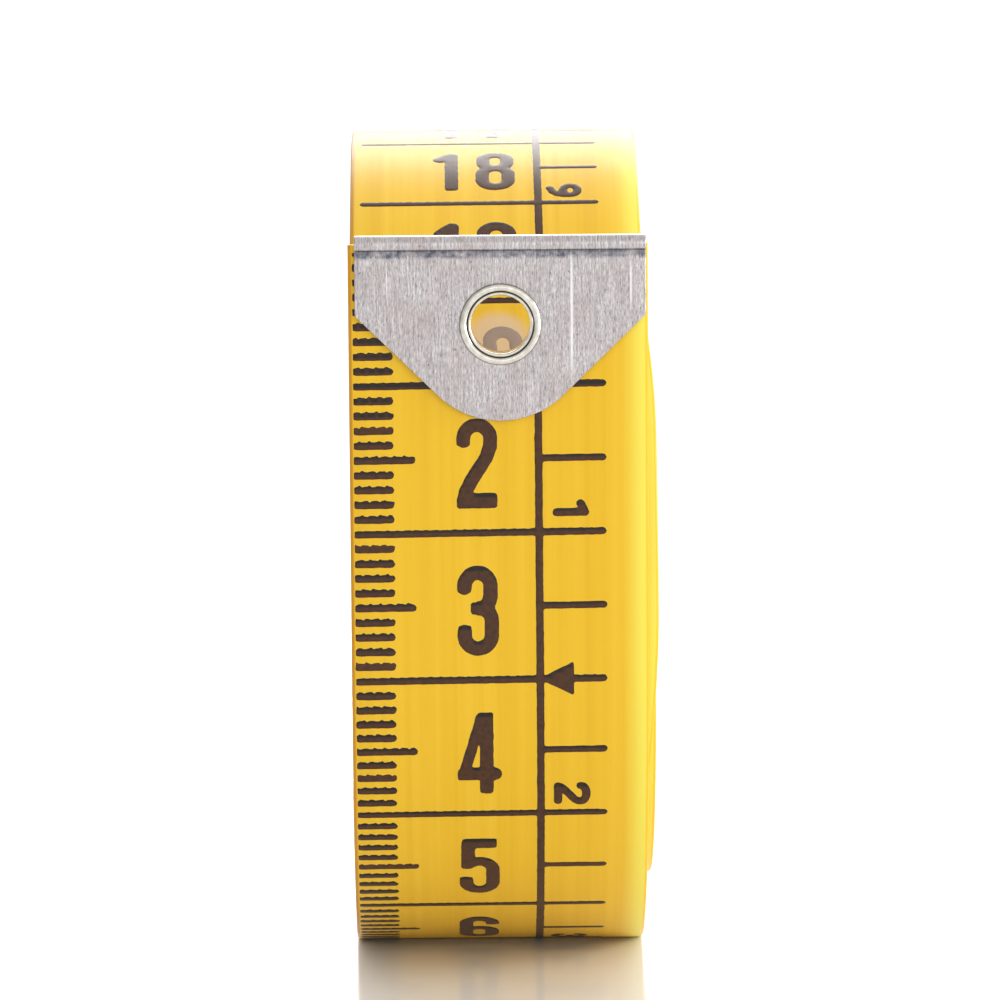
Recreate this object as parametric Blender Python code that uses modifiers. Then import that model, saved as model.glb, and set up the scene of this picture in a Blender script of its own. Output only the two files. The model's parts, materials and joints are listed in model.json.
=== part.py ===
"""A tailor's measuring tape: 150 cm of yellow coated strip, rolled into a coil that
stands on its rim, with a folded metal tip and an eyelet on the outer end.

X runs across the tape, along the coil's axis. The outer end hangs at the front, on the
-Y side, and +Z is up. The origin is at the middle of the bounding box, on the floor.
"""
import math

import bmesh
import bpy
import numpy as np

# Driving dimensions, in metres and degrees.
TAPE_LENGTH = 1.500
TAPE_WIDTH = 0.0200
TAPE_THICKNESS = 0.00042
WRAP_PITCH = 0.00052          # from one wrap's middle to the next one's

COIL_RADIUS = 0.02986         # mean radius of the outermost wrap's middle
COIL_OVAL = 0.00223           # how far the long axis reaches past that radius
OVAL_ANGLE = 14.7             # the long axis points this far below the front
COIL_EGG = 0.00076            # height of three low bulges, which make the oval uneven
EGG_ANGLE = 34.3              # the first bulge is this far below the front
START_ANGLE = 5.3             # the lead leaves the coil this far below the front
LEAD_STRAIGHT = 0.0286        # straight lead above that place
FACET_ANGLE = 6.0
FOOT_RISE = 0.0008            # how far the rim is pressed flat where it stands
WRAP_DRIFT = 0.0008           # sideways drift of the inner wraps

LEAD_LINKS = 5
LEAD_LINK_LENGTH = 0.0080
TIP_LINK_LENGTH = 0.0160      # the last link of the lead, which carries the tip
TAIL_LINKS = 3
TAIL_LINK_LENGTH = 0.0090
TAIL_LIFT = 0.0027            # how far the inner end rises off the wrap behind it
TAIL_ZONE = 0.0500            # the stretch over which it rises, with the clip's length
LINK_GAP = 0.0003

SHEET = 0.00030               # metal of both ends
SHEET_CLEARANCE = 0.00006     # between that metal and the tape
TIP_WIDTH = 0.0194
TIP_LENGTH = 0.0124
TIP_SHOULDER = 0.0053         # straight side, from the fold down
TIP_NOSE_RADIUS = 0.0060
CLIP_LENGTH = 0.0085
FOLD_STEPS = 6

# Both folds are round: their middle lies this far in from the end.
FOLD_DEPTH = TAPE_THICKNESS / 2.0 + SHEET_CLEARANCE + SHEET

EYELET_DROP = 0.0059          # from the fold down to the eyelet's axis
EYELET_BORE = 0.0039
EYELET_BARREL = 0.0045
EYELET_FLANGE = 0.0055
EYELET_ROLL = 0.00035         # how far each flange stands off the metal
HOLE = 0.0047                 # in the tape and in the tip
ROUND_STEPS = 32

YELLOW = (0.87, 0.53, 0.045, 1.0)
TIN = (0.62, 0.60, 0.60, 1.0)
NICKEL = (0.75, 0.74, 0.73, 1.0)


def clear_scene():
    for old in list(bpy.data.objects):
        bpy.data.objects.remove(old, do_unlink=True)


def new_collection(name):
    collection = bpy.data.collections.new(name)
    bpy.context.scene.collection.children.link(collection)
    return collection


def new_material(name, colour, roughness, metallic):
    material = bpy.data.materials.new(name)
    material.use_nodes = True
    shader = material.node_tree.nodes["Principled BSDF"]
    shader.inputs["Base Color"].default_value = colour
    shader.inputs["Roughness"].default_value = roughness
    shader.inputs["Metallic"].default_value = metallic
    return material


def smooth(x):
    x = np.clip(x, 0.0, 1.0)
    return x * x * (3.0 - 2.0 * x)


class Route:
    """The middle line of the tape in the YZ plane, from its outer to its inner end."""

    def __init__(self):
        step = math.radians(FACET_ANGLE / 12.0)
        start = math.radians(START_ANGLE)
        turns = TAPE_LENGTH / (2.0 * math.pi * (COIL_RADIUS - 5.0 * WRAP_PITCH)) + 0.6
        self.angle = start + np.arange(0.0, turns * 2.0 * math.pi, step)
        oval = COIL_OVAL * np.cos(2.0 * (self.angle - math.radians(OVAL_ANGLE)))
        egg = COIL_EGG * np.cos(3.0 * (self.angle - math.radians(EGG_ANGLE)))
        wound = WRAP_PITCH * (self.angle - start) / (2.0 * math.pi)
        radius = COIL_RADIUS + oval + egg - wound
        points = self.press_foot(radius)
        length = self.measure(points)
        rise = (length - TAPE_LENGTH + TAIL_ZONE) / (TAIL_ZONE - CLIP_LENGTH)
        lift = TAIL_LIFT * smooth(rise)
        self.points = points * (1.0 - lift / radius)[:, None]
        self.length = self.measure(self.points)
        self.lead_direction = self.direction(LEAD_STRAIGHT + 0.0001)
        self.tail_direction = self.direction(TAPE_LENGTH - CLIP_LENGTH - 0.0001)

    def press_foot(self, radius):
        """Flatten the bottom of each wrap, so that the coil stands still."""
        y = -radius * np.cos(self.angle)
        z = -radius * np.sin(self.angle)
        first = self.angle < self.angle[0] + 2.0 * math.pi
        lowest = int(np.argmin(np.where(first, z, 1.0)))
        wrap = np.round((self.angle - self.angle[lowest]) / (2.0 * math.pi))
        level = z[lowest] + FOOT_RISE + wrap * WRAP_PITCH
        return np.stack([y, np.maximum(z, level)], axis=1)

    def measure(self, points):
        steps = np.hypot(*np.diff(points, axis=0).T)
        return LEAD_STRAIGHT + np.concatenate([[0.0], np.cumsum(steps)])

    def at(self, length):
        """The point that lies this far along the tape from its outer end."""
        wound = min(max(length, LEAD_STRAIGHT), TAPE_LENGTH - CLIP_LENGTH)
        point = self.wound_point(wound)
        if length < wound:
            return point + self.lead_direction * (length - wound)
        if length > wound:
            return point + self.tail_direction * (length - wound)
        return point

    def wound_point(self, length):
        return np.array([np.interp(length, self.length, axis) for axis in self.points.T])

    def direction(self, length):
        near, far = self.wound_point(length - 0.0001), self.wound_point(length + 0.0001)
        return (far - near) / np.hypot(*(far - near))

    def facets(self, begin, end):
        """Lengths where the tape's straight facets meet, at the same angles each turn."""
        step = math.radians(FACET_ANGLE)
        turned = np.arange(0.0, self.angle[-1] - self.angle[0], step)
        lengths = np.interp(turned + self.angle[0], self.angle, self.length)
        short = 0.2 * step * COIL_RADIUS
        inside = [s for s in lengths if begin + short < s < end - short]
        return [begin] + inside + [end]

    def drift(self, length):
        """Sideways place of the tape's middle: the inner wraps have slipped to +X."""
        wound = (length - 0.048) / (0.55 * TAPE_LENGTH)
        return WRAP_DRIFT * (float(smooth(wound)) - 0.5)


def find_origin(route):
    """The bounding box's middle in Y, and the floor's level, on the route's own axes."""
    outer = route.length < 0.25
    half = TAPE_THICKNESS / 2.0
    tip_face = FOLD_DEPTH + EYELET_ROLL
    front = min(route.at(EYELET_DROP)[0] - tip_face, route.points[0][0] - half)
    back = route.points[outer, 0].max() + half
    floor = route.points[outer, 1].min() - half
    return np.array([(front + back) / 2.0, floor])


def add_object(name, mesh, collection, material):
    mesh.name = name
    thing = bpy.data.objects.new(name, mesh)
    collection.objects.link(thing)
    thing.data.materials.append(material)
    return thing


def ribbon(name, path, width, thickness, collection, material):
    """A strip along path, whose points are (middle x, y, z), with Solidify."""
    bm = bmesh.new()
    left = [bm.verts.new((x - width / 2.0, y, z)) for x, y, z in path]
    right = [bm.verts.new((x + width / 2.0, y, z)) for x, y, z in path]
    for i in range(len(path) - 1):
        bm.faces.new((left[i], right[i], right[i + 1], left[i + 1]))
    mesh = bpy.data.meshes.new(name)
    bm.to_mesh(mesh)
    bm.free()
    thing = add_object(name, mesh, collection, material)
    solid = thing.modifiers.new("thickness", "SOLIDIFY")
    solid.thickness = thickness
    solid.offset = 0.0
    solid.use_even_offset = True
    return thing


def tape_strip(name, begin, end, kit):
    route, origin = kit["route"], kit["origin"]
    path = []
    for length in route.facets(begin, end):
        y, z = route.at(length) - origin
        path.append((route.drift(length), y, z))
    return ribbon(name, path, TAPE_WIDTH, TAPE_THICKNESS, kit["parts"], kit["yellow"])


def place_on_hinge(thing, length, kit, parent):
    """Hang a link from an empty that lies on its hinge axis."""
    y, z = kit["route"].at(length) - kit["origin"]
    hinge = bpy.data.objects.new(thing.name + "_hinge", None)
    hinge.empty_display_size = 0.004
    hinge.location = (0.0, y, z)
    kit["parts"].objects.link(hinge)
    if parent:
        attach(hinge, parent)
    attach(thing, hinge)
    return hinge


def attach(thing, parent):
    bpy.context.view_layer.update()
    thing.parent = parent
    thing.matrix_parent_inverse = parent.matrix_world.inverted()


def tape_end_frame(kit, near, far):
    """Corner and axes of a flat end of the tape, from the point near to the point far."""
    route, origin = kit["route"], kit["origin"]
    corner = route.at(near) - origin
    along = (route.at(far) - origin) - corner
    along = along / np.hypot(*along)
    outward = np.array([along[1], -along[0]])
    return corner, along, outward


def folded_sheet(name, corner, along, outward, middle_x, length, width, kit, material):
    """A sheet folded round the end of the tape, with both leaves as long as length."""
    reach = FOLD_DEPTH - SHEET / 2.0
    bend = corner + along * FOLD_DEPTH
    path = [bend + outward * reach + along * (length - FOLD_DEPTH)]
    for i in range(FOLD_STEPS + 1):
        turn = math.pi * i / FOLD_STEPS
        path.append(bend + outward * reach * math.cos(turn) - along * reach * math.sin(turn))
    path.append(bend - outward * reach + along * (length - FOLD_DEPTH))
    path = [(middle_x, y, z) for y, z in path]
    return ribbon(name, path, width, SHEET, kit["parts"], material)


def tip_outline():
    """Half-width and drop of the tip's outline: shoulders, slopes and a round nose."""
    half = TIP_WIDTH / 2.0
    slope = math.radians(45.0)
    centre = TIP_LENGTH - TIP_NOSE_RADIUS
    arc = []
    for i in range(9):
        turn = slope + (math.pi - 2.0 * slope) * i / 8.0
        arc.append((TIP_NOSE_RADIUS * math.cos(turn), centre + TIP_NOSE_RADIUS * math.sin(turn)))
    shoulder = TIP_SHOULDER + 0.0002
    return [(half, -0.002), (half, shoulder)] + arc + [(-half, shoulder), (-half, -0.002)]


def prism(name, outline, depth, corner, along, outward, middle_x, kit):
    """A closed block with the given outline, that runs through the tip as a cutter."""
    bm = bmesh.new()
    verts = []
    for x, drop in outline:
        y, z = corner + along * drop + outward * depth / 2.0
        verts.append(bm.verts.new((middle_x + x, y, z)))
    face = bm.faces.new(verts)
    made = bmesh.ops.extrude_face_region(bm, geom=[face])
    moved = [v for v in made["geom"] if isinstance(v, bmesh.types.BMVert)]
    shift = -outward * depth
    bmesh.ops.translate(bm, verts=moved, vec=(0.0, shift[0], shift[1]))
    bmesh.ops.recalc_face_normals(bm, faces=bm.faces)
    mesh = bpy.data.meshes.new(name)
    bm.to_mesh(mesh)
    bm.free()
    return hide_cutter(add_object(name, mesh, kit["cutters"], kit["tin"]))


def hide_cutter(thing):
    thing.hide_render = True
    thing.display_type = "WIRE"
    return thing


def cut(thing, cutter, operation):
    boolean = thing.modifiers.new(cutter.name, "BOOLEAN")
    boolean.operation = operation
    boolean.solver = "EXACT"
    boolean.object = cutter


def circle(radius):
    steps = [2.0 * math.pi * i / ROUND_STEPS for i in range(ROUND_STEPS)]
    return [(radius * math.cos(a), radius * math.sin(a)) for a in steps]


def make_eyelet(centre, outward, middle_x, kit):
    """A turned barrel with a flange rolled over on both faces of the tip."""
    seat = FOLD_DEPTH + SHEET_CLEARANCE
    face = FOLD_DEPTH + EYELET_ROLL
    bore, barrel, rim = EYELET_BORE / 2.0, EYELET_BARREL / 2.0, EYELET_FLANGE / 2.0
    crown = (bore + rim) / 2.0
    upper = [(barrel, seat), (rim, seat), (rim, seat + 0.0001), (crown, face)]
    upper += [(bore + 0.0001, face - 0.0001), (bore, seat)]
    lower = [(radius, -height) for radius, height in reversed(upper)]
    profile = upper + lower
    bm = bmesh.new()
    verts = [bm.verts.new((radius, 0.0, height)) for radius, height in reversed(profile)]
    for i, vert in enumerate(verts):
        bm.edges.new((vert, verts[(i + 1) % len(verts)]))
    mesh = bpy.data.meshes.new("eyelet")
    bm.to_mesh(mesh)
    bm.free()
    thing = add_object("eyelet", mesh, kit["parts"], kit["nickel"])
    screw = thing.modifiers.new("turned", "SCREW")
    screw.angle = 2.0 * math.pi
    screw.steps = ROUND_STEPS
    screw.render_steps = ROUND_STEPS
    screw.use_merge_vertices = True
    screw.merge_threshold = 0.00001
    thing.location = (middle_x, centre[0], centre[1])
    thing.rotation_euler = (math.atan2(-outward[0], outward[1]), 0.0, 0.0)
    return thing


def make_lead(kit):
    """The free outer end: five links in a chain, the last one with the tip."""
    hinges = [TIP_LINK_LENGTH + LEAD_LINK_LENGTH * i for i in range(LEAD_LINKS)]
    hinges.reverse()
    parent = None
    for i, hinge in enumerate(hinges):
        last = i == LEAD_LINKS - 1
        begin = FOLD_DEPTH if last else hinges[i + 1] + LINK_GAP / 2.0
        link = tape_strip(f"tape_lead_{i + 1}", begin, hinge - LINK_GAP / 2.0, kit)
        parent = place_on_hinge(link, hinge, kit, parent)
    make_tip(link, parent, kit)
    return hinges[0]


def make_tip(link, parent, kit):
    corner, along, outward = tape_end_frame(kit, 0.0, 0.010)
    middle_x = kit["route"].drift(0.0)
    tip = folded_sheet("end_tip", corner, along, outward, middle_x, TIP_LENGTH + 0.001,
                       TIP_WIDTH + 0.001, kit, kit["tin"])
    frame = (corner, along, outward, middle_x, kit)
    cut(tip, prism("tip_outline", tip_outline(), 0.004, *frame), "INTERSECT")
    hole = [(x, drop + EYELET_DROP) for x, drop in circle(HOLE / 2.0)]
    punch = prism("eyelet_punch", hole, 0.005, *frame)
    cut(tip, punch, "DIFFERENCE")
    cut(link, punch, "DIFFERENCE")
    eyelet = make_eyelet(corner + along * EYELET_DROP, outward, middle_x, kit)
    attach(tip, parent)
    attach(eyelet, parent)


def make_tail(kit):
    """The inner end: three links in a chain, the last one with a plain metal clip."""
    hinges = [TAPE_LENGTH - TAIL_LINK_LENGTH * (TAIL_LINKS - i) for i in range(TAIL_LINKS)]
    parent = None
    for i, hinge in enumerate(hinges):
        last = i == TAIL_LINKS - 1
        end = TAPE_LENGTH - FOLD_DEPTH if last else hinges[i + 1] - LINK_GAP / 2.0
        link = tape_strip(f"tape_tail_{i + 1}", hinge + LINK_GAP / 2.0, end, kit)
        parent = place_on_hinge(link, hinge, kit, parent)
    corner, along, outward = tape_end_frame(kit, TAPE_LENGTH, TAPE_LENGTH - CLIP_LENGTH)
    clip = folded_sheet("tail_clip", corner, along, outward, kit["route"].drift(TAPE_LENGTH),
                        CLIP_LENGTH, TIP_WIDTH, kit, kit["tin"])
    attach(clip, parent)
    return hinges[0]


def main():
    clear_scene()
    route = Route()
    kit = {
        "parts": new_collection("measuring_tape"),
        "cutters": new_collection("cutters"),
        "yellow": new_material("tape_yellow", YELLOW, 0.42, 0.0),
        "tin": new_material("brushed_tin", TIN, 0.38, 1.0),
        "nickel": new_material("nickel", NICKEL, 0.22, 1.0),
        "route": route,
        "origin": find_origin(route),
    }
    coil_begin = make_lead(kit) + LINK_GAP / 2.0
    coil_end = make_tail(kit) - LINK_GAP / 2.0
    tape_strip("tape_coil", coil_begin, coil_end, kit)


main()
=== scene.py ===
"""Looks of a rolled measuring tape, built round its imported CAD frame.

The tape is one long strip with rounded edges, whose route repeats the CAD model's. Its print
is raised ink: a field of distances over the flat tape says where the ink is, and the ink's
outline is laid on the strip as thin domed patches. Lengths are metres unless mm are named.
"""
import json
import math

import bmesh
import bpy
import numpy as np
from mathutils import Matrix, Vector


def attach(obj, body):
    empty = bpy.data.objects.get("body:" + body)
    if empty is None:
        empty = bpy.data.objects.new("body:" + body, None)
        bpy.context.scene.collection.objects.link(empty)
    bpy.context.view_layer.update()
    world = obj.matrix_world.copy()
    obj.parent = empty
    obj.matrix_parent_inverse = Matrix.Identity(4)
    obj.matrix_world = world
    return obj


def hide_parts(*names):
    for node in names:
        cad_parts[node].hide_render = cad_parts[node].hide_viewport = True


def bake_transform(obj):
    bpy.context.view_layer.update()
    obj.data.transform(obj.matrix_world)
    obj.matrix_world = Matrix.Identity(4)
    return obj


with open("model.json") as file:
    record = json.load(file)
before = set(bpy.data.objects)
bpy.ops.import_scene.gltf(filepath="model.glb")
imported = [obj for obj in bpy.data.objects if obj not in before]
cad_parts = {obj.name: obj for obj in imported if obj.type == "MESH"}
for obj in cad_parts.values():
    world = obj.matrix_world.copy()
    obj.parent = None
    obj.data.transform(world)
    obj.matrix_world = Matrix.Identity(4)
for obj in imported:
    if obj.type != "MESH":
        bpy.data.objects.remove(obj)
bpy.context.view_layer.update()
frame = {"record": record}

# The strip and its coil, as in the CAD model.
TAPE_LENGTH = 1.500
TAPE_WIDTH = 0.0200
TAPE_THICKNESS = 0.00042
WRAP_PITCH = 0.00052          # from one wrap to the next
COIL_RADIUS = 0.02986         # of the outermost wrap, before it is made oval
COIL_OVAL = 0.00223           # twice round, and with its axis at OVAL_ANGLE
OVAL_ANGLE = math.radians(14.7)
COIL_EGG = 0.00076            # three times round, from EGG_ANGLE
EGG_ANGLE = math.radians(34.3)
START_ANGLE = math.radians(5.3)    # the winding begins this far below the front's middle
TURNS = 9.3                   # more than the tape needs
LEAD_STRAIGHT = 0.0286        # the outer end stands off the coil for this long
FOOT_RISE = 0.0008            # the coil is pressed flat this far up
LEAD_DRIFT = -0.0004          # the outer end lies this far to the side
TAIL_DRIFT = 0.00055          # and the inner end this far back from there
BULGE = 0.00069               # the inner wraps stand out sideways at the front
TAIL_LIFT = 0.0027            # how far the inner end lifts off the coil
TAIL_ZONE = 0.0500            # over this length, which takes in the clip
CLIP_LENGTH = 0.0085
SHEET = 0.00030               # thickness of the metal
FOLD_DEPTH = 0.00057          # from the strip's middle surface to the folded metal's face
TIP_LENGTH = 0.0124
TIP_WIDTH = 0.0194
EYELET_DROP = 0.0059          # from the tape's end to the eyelet's middle
HOLE = 0.0047                 # its diameter in the metal and the tape

# Where the strip is cut into pieces: about halfway between the hinges of its two ends.
LEAD_HINGES = (0.048, 0.040, 0.032, 0.024, 0.016)
LEAD_SEAMS = (0.0525, 0.0445, 0.0365, 0.0285, 0.0205, 0.0125)
TAIL_HINGES = (1.473, 1.482, 1.491)
TAIL_SEAMS = (1.4685, 1.4775, 1.4865)

# The strip's own section.
FACE_COLUMNS = 8
EDGE_STEPS = 7
EDGE_DEPTH = 0.00028          # how far in the rounding of an edge begins

# The print: its grid and its ink.
OUTER_PRINT = 0.246           # printed length that can show on the outer face
INNER_PRINT = 0.200           # and on the inner face, from the tail
CELL = 0.001 / 6.0            # grid of the ink's field
NO_INK = 9.0                  # the field's value far from any mark, in mm
INK_HEIGHT = 0.000030
INK_SINK = 0.000003           # the ink's outline lies this far under the tape's face
INK_ROOT = 0.000010           # and its underside this far
DOME_REACH = 0.15             # mm from the outline in to the ink's full height
SHADE_ROWS = 1.5              # the painted shade on each mark's upper edge looks this many rows up for the ink's edge
PRINT_SKEW = 0.0091           # the print runs a little askew on the tape

# The scale's marks, in mm across and along the tape.
RULE_AT = 2.6                 # the line along the tape
RULE_LEAN = 0.0022            # its way sideways for each mm of tape
RULE_WIDTH = 0.54
TICK_BEGIN = -9.72
LATER_BEGIN = -9.1            # centimetre lines begin here from 10 cm on
MM_TICK_END = -7.28
HALF_CM_TICK_END = -5.86
TICK_WIDTH = 0.56
CM_LINE_END = 6.9
CM_LINE_WIDTH = 0.52
RIGHT_TICK_END = 6.95
RIGHT_TICK_WIDTH = 0.50

# Scratches, painted shade at a crease, and a pale patch, in metres across and along the strip.
CREASE_AT = 0.00118           # from a folded end to the crease, darkened with painted shade
CREASE_REACH = 0.00042
PATCH_ALONG, PATCH_ACROSS = 0.1931, -0.0001    # the middle of the pale pinkish patch under the eyelet
PATCH_COLOUR = (0.78, 0.60, 0.47)
TIP_SCRATCHES = (             # across, along, half-width and half-length
    (0.00450, 0.0052, 0.00012, 0.0056),
    (0.00845, 0.0033, 0.00009, 0.0020),
    (-0.00780, 0.0032, 0.00003, 0.0016),
    (-0.00210, 0.0098, 0.00003, 0.0013),
)

# The camera looks at the coil's middle from the front, a little from above.
CAMERA_ELEVATION = math.radians(9.78)
CAMERA_YAW = math.radians(-0.49)
CAMERA_ROLL = math.radians(0.40)
CAMERA_DISTANCE = 0.5062
CAMERA_LENS = 254.8
CAMERA_ABOVE = 0.00231        # the view's middle passes this far over the coil's middle
CAMERA_BESIDE = -0.000088     # and this far to the right of it


def smooth(x):
    """0 up to 0, 1 from 1 on, and a soft step between them."""
    x = np.clip(x, 0.0, 1.0)
    return x * x * (3.0 - 2.0 * x)


def joint_place(name):
    """The world place of one of the record's joints."""
    for joint in frame["record"]["behaviour"]["joints"]:
        if joint["name"] == name:
            return np.array(joint["pos_m"], float)
    raise ValueError(name)


class Route:
    """The strip's middle line in the YZ plane, placed by the frame's first lead hinge."""

    def __init__(self):
        self.origin = np.zeros(2)
        self.angle = START_ANGLE + np.arange(0.0, TURNS * 2.0 * math.pi, math.radians(0.5))
        oval = COIL_OVAL * np.cos(2.0 * (self.angle - OVAL_ANGLE))
        egg = COIL_EGG * np.cos(3.0 * (self.angle - EGG_ANGLE))
        wound = (self.angle - START_ANGLE) / (2.0 * math.pi)
        radius = COIL_RADIUS + oval + egg - WRAP_PITCH * wound + self.slack(wound)
        points = self.press_foot(radius)
        length = self.measure(points)
        rise = (length - TAPE_LENGTH + TAIL_ZONE) / (TAIL_ZONE - CLIP_LENGTH)
        self.points = points * (1.0 - TAIL_LIFT * smooth(rise) / radius)[:, None]
        self.length = self.measure(self.points)
        self.lead_direction = self.wound_direction(LEAD_STRAIGHT + 0.0001)
        self.tail_direction = self.wound_direction(TAPE_LENGTH - CLIP_LENGTH - 0.0001)
        self.origin = self.at([LEAD_HINGES[0]])[0] - joint_place("lead_peel")[1:]

    def slack(self, wound):
        """The inner wraps don't lie quite evenly: some touch, and some leave a gap."""
        loose = smooth((wound - 1.2) / 1.0) * smooth((8.0 - wound) / 0.6)
        wave = np.sin(wound * 2.3 + 0.7) * np.sin(wound * 2.0 * math.pi * 1.07 + 1.9)
        return 0.00006 * loose * wave

    def press_foot(self, radius):
        """The coil's points (y, z), with each wrap flattened where the coil stands."""
        y = -radius * np.cos(self.angle)
        z = -radius * np.sin(self.angle)
        first = self.angle < self.angle[0] + 2.0 * math.pi
        lowest = int(np.argmin(np.where(first, z, 1.0)))
        wrap = (self.angle - self.angle[lowest]) / (2.0 * math.pi)
        level = z[lowest] + FOOT_RISE + np.round(wrap) * WRAP_PITCH
        return np.stack([y, np.maximum(z, level)], axis=1)

    def measure(self, points):
        """How much tape there is from the outer end to each point."""
        steps = np.hypot(*np.diff(points, axis=0).T)
        return LEAD_STRAIGHT + np.concatenate([[0.0], np.cumsum(steps)])

    def wound_points(self, lengths):
        return np.stack([np.interp(lengths, self.length, axis) for axis in self.points.T], 1)

    def wound_direction(self, length):
        near, far = self.wound_points([length - 0.0001, length + 0.0001])
        return (far - near) / np.hypot(*(far - near))

    def at(self, lengths):
        """Middle points (y, z) at these lengths: straight at both ends, and wound between."""
        lengths = np.asarray(lengths, float)
        wound = np.clip(lengths, LEAD_STRAIGHT, TAPE_LENGTH - CLIP_LENGTH)
        past = lengths - wound
        points = self.wound_points(wound) + np.minimum(past, 0.0)[:, None] * self.lead_direction
        points = points + np.maximum(past, 0.0)[:, None] * self.tail_direction
        return points - self.origin

    def outward(self, lengths):
        """The directions (y, z) that point out of the strip's printed front."""
        lengths = np.asarray(lengths, float)
        along = self.at(lengths + 0.0005) - self.at(lengths - 0.0005)
        along = along / np.hypot(*along.T)[:, None]
        return np.stack([along[:, 1], -along[:, 0]], axis=1)

    def drift(self, lengths):
        """Sideways place of the strip's middle, in X."""
        lengths = np.asarray(lengths, float)
        turned = np.degrees(np.interp(lengths, self.length, self.angle))
        wrapped = (turned + 180.0) % 360.0 - 180.0
        bulge = smooth((wrapped + 50.0) / 27.0) * smooth((27.0 - wrapped) / 27.0)
        bulge = BULGE * bulge * (turned > 200.0)
        tail = TAIL_DRIFT * smooth((lengths - 1.38) / 0.07)
        stray = np.sin(lengths * 23.0 + 0.4) * np.sin(lengths * 9.1 + 1.0)
        stray = 0.00009 * stray * smooth((lengths - 0.25) / 0.1)
        return LEAD_DRIFT + np.maximum(bulge, tail) + stray

    def place(self, lengths, across, lift):
        """World points on the strip: across in X, and lift out of its middle surface."""
        flat = self.at(lengths) + self.outward(lengths) * np.asarray(lift)[:, None]
        return np.stack([self.drift(lengths) + across, flat[:, 0], flat[:, 1]], axis=1)


route = Route()


# ---------------------------------------------------------------- objects and materials

def add_object(name, mesh, material=None):
    thing = bpy.data.objects.new(name, mesh)
    bpy.context.scene.collection.objects.link(thing)
    if material:
        mesh.materials.append(material)
    return thing


def mesh_from(name, points, faces):
    mesh = bpy.data.meshes.new(name)
    mesh.from_pydata([tuple(p) for p in points], [], [tuple(f) for f in faces])
    mesh.update()
    return mesh


def store(mesh, name, values):
    """Keep a vector for each vertex, which the materials read by that name."""
    attribute = mesh.attributes.new(name, "FLOAT_VECTOR", "POINT")
    attribute.data.foreach_set("vector", np.asarray(values, np.float32).ravel())


class Nodes:
    """Short calls for building a Principled material."""

    def __init__(self, name, roughness, metallic=0.0):
        self.material = bpy.data.materials.new(name)
        self.material.use_nodes = True
        self.tree = self.material.node_tree
        self.shader = self.tree.nodes["Principled BSDF"]
        self.shader.inputs["Roughness"].default_value = roughness
        self.shader.inputs["Metallic"].default_value = metallic

    def new(self, kind, **values):
        node = self.tree.nodes.new(kind)
        for key, value in values.items():
            setattr(node, key, value)
        return node

    def link(self, source, target):
        self.tree.links.new(source, target)

    def set(self, node, **values):
        for key, value in values.items():
            node.inputs[key].default_value = value

    def attribute(self, name):
        return self.new("ShaderNodeAttribute", attribute_name=name).outputs["Vector"]

    def separate(self, vector):
        node = self.new("ShaderNodeSeparateXYZ")
        self.link(vector, node.inputs[0])
        return node.outputs

    def math(self, operation, a, b=0.0):
        node = self.new("ShaderNodeMath", operation=operation)
        for socket, value in zip(node.inputs, (a, b)):
            if isinstance(value, (int, float)):
                socket.default_value = value
            else:
                self.link(value, socket)
        return node.outputs[0]

    def scaled(self, vector, scale):
        node = self.new("ShaderNodeVectorMath", operation="MULTIPLY")
        self.link(vector, node.inputs[0])
        node.inputs[1].default_value = scale
        return node.outputs[0]

    def noise(self, vector, detail=3.0, roughness=0.5):
        node = self.new("ShaderNodeTexNoise")
        self.link(vector, node.inputs["Vector"])
        self.set(node, Scale=1.0, Detail=detail, Roughness=roughness)
        return node.outputs["Fac"]

    def ramp(self, value, *stops):
        """Stops are (position, colour or grey)."""
        node = self.new("ShaderNodeValToRGB")
        self.link(value, node.inputs[0])
        marks = node.color_ramp.elements
        while len(marks) < len(stops):
            marks.new(0.5)
        for mark, (position, colour) in zip(marks, stops):
            mark.position = position
            mark.color = (*colour, 1.0) if isinstance(colour, tuple) else (colour,) * 3 + (1.0,)
        return node.outputs[0]

    def mix(self, amount, a, b):
        """Colour a where amount is 0, and colour b where it is 1."""
        node = self.new("ShaderNodeMix", data_type="RGBA")
        for socket, value in zip((node.inputs[0], node.inputs[6], node.inputs[7]),
                                 (amount, a, b)):
            if isinstance(value, tuple):
                socket.default_value = (*value, 1.0)
            else:
                self.link(value, socket)
        return node.outputs[2]

    def bump(self, height, distance, normal=None):
        node = self.new("ShaderNodeBump")
        self.link(height, node.inputs["Height"])
        self.set(node, Strength=1.0, Distance=distance)
        if normal:
            self.link(normal, node.inputs["Normal"])
        return node.outputs["Normal"]

    def between(self, value, low, high):
        """0 up to low, 1 from high on, and smooth between them."""
        node = self.new("ShaderNodeMapRange", interpolation_type="SMOOTHSTEP")
        self.link(value, node.inputs["Value"])
        self.set(node, **{"From Min": low, "From Max": high})
        return node.outputs[0]

    def near(self, value, middle, reach):
        """1 at middle, and 0 further than reach from it."""
        off = self.math("ABSOLUTE", self.math("SUBTRACT", value, middle))
        return self.math("SUBTRACT", 1.0, self.between(off, reach * 0.3, reach))

    def product(self, a, b):
        return self.math("MULTIPLY", a, b)

    def colour(self, source):
        self.link(source, self.shader.inputs["Base Color"])

    def rough(self, source):
        self.link(source, self.shader.inputs["Roughness"])

    def normal(self, source):
        self.link(source, self.shader.inputs["Normal"])


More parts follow.
